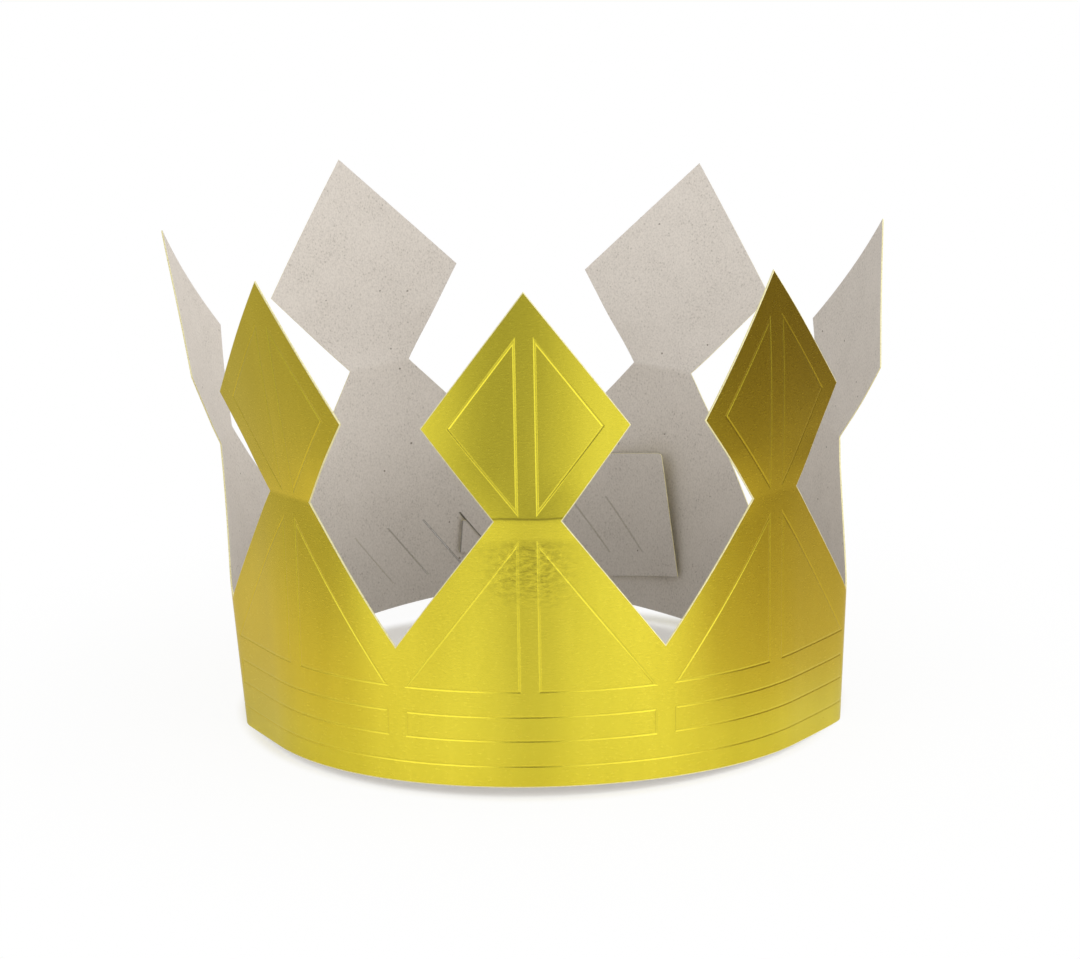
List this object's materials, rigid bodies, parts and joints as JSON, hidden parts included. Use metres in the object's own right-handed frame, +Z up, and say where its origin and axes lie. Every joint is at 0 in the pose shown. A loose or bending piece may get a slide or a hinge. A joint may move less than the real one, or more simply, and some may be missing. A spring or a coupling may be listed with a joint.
{
  "type": "paper crown",
  "caption": "Paper crown bent from a strip of foil-faced board, with diamond-tipped points on narrow necks, pressed line panels and a tongue threaded through a slit at the back.",
  "frame": {"origin": "centre of the bounding box's foot, on the surface the crown rests on", "axes": "+X to the viewer's right in the picture, along the longest extent; +Z up; -Y is the front, with the closure at +Y"},
  "size_m": [0.2312, 0.1994, 0.1566],
  "materials": {
    "crown_band": "gold foil outside, bare grey board inside, pale cut edges"
  },
  "bodies": {
    "root": {"crown_band": "crown_band"}
  },
  "joints": []
}
